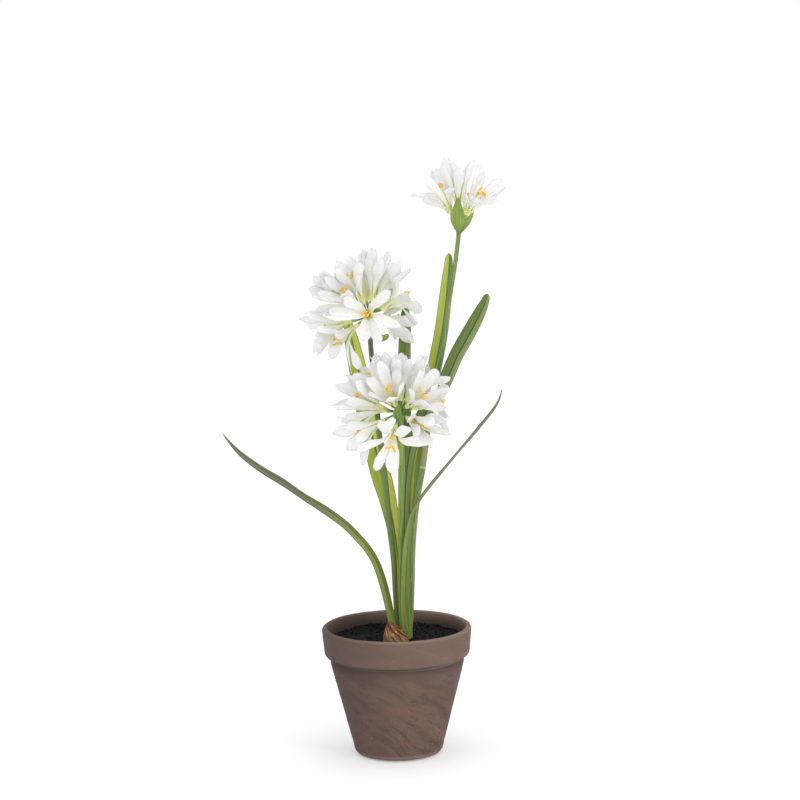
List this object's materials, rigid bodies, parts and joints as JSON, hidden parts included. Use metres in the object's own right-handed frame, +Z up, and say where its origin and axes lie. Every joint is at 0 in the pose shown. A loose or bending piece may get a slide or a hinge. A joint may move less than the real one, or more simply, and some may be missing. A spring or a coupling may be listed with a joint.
{
  "type": "potted agapanthus",
  "caption": "Clay pot of dark soil holding a small bulb, arching strap leaves and upright stems that each carry a round head of white, long-petalled flowers.",
  "frame": {"origin": "middle of the pot's flat underside, on the surface it stands on", "axes": "+Z up, -Y towards the front of the plant, +X to the right seen from the front"},
  "size_m": [0.215, 0.1503, 0.4536],
  "materials": {
    "pot": "unglazed brown clay, matt, with faint brushed swirls",
    "soil": "loose near-black grit, matt",
    "bulb": "papery ribbed reddish-brown skin, paler at the soil",
    "leaf": "satin mid green, yellower in the light, with fine veins along it",
    "stem": "satin grey-green",
    "petal": "soft white, greenish in the throat, with orange-gold anthers"
  },
  "bodies": {
    "root": {"pot": "pot", "soil": "soil", "bulb": "bulb", "leaf_back_right": "leaf", "leaf_left_trailing": "leaf", "leaf_left_upright": "leaf", "leaf_right_arching": "leaf", "leaf_right_front": "leaf", "leaf_upright": "leaf", "stem_front": "stem", "stem_left": "stem", "stem_top": "stem", "floret_front_back_left": "petal", "floret_front_back_right": "petal", "floret_front_behind_left": "petal", "floret_front_face": "petal", "floret_front_left": "petal", "floret_front_lower_left": "petal", "floret_front_lower_right": "petal", "floret_front_right": "petal", "floret_front_top": "petal", "floret_front_top_left": "petal", "floret_front_top_right": "petal", "floret_front_upper": "petal", "floret_front_upper_left": "petal", "floret_front_upper_right": "petal", "floret_left_back_left": "petal", "floret_left_back_right": "petal", "floret_left_behind_top": "petal", "floret_left_face": "petal", "floret_left_left": "petal", "floret_left_low": "petal", "floret_left_lower_left": "petal", "floret_left_lower_right": "petal", "floret_left_right": "petal", "floret_left_top": "petal", "floret_left_top_left": "petal", "floret_left_top_right": "petal", "floret_left_upper_left": "petal", "floret_top_back_left": "petal", "floret_top_back_right": "petal", "floret_top_centre": "petal", "floret_top_left": "petal", "floret_top_right": "petal"}
  },
  "joints": []
}
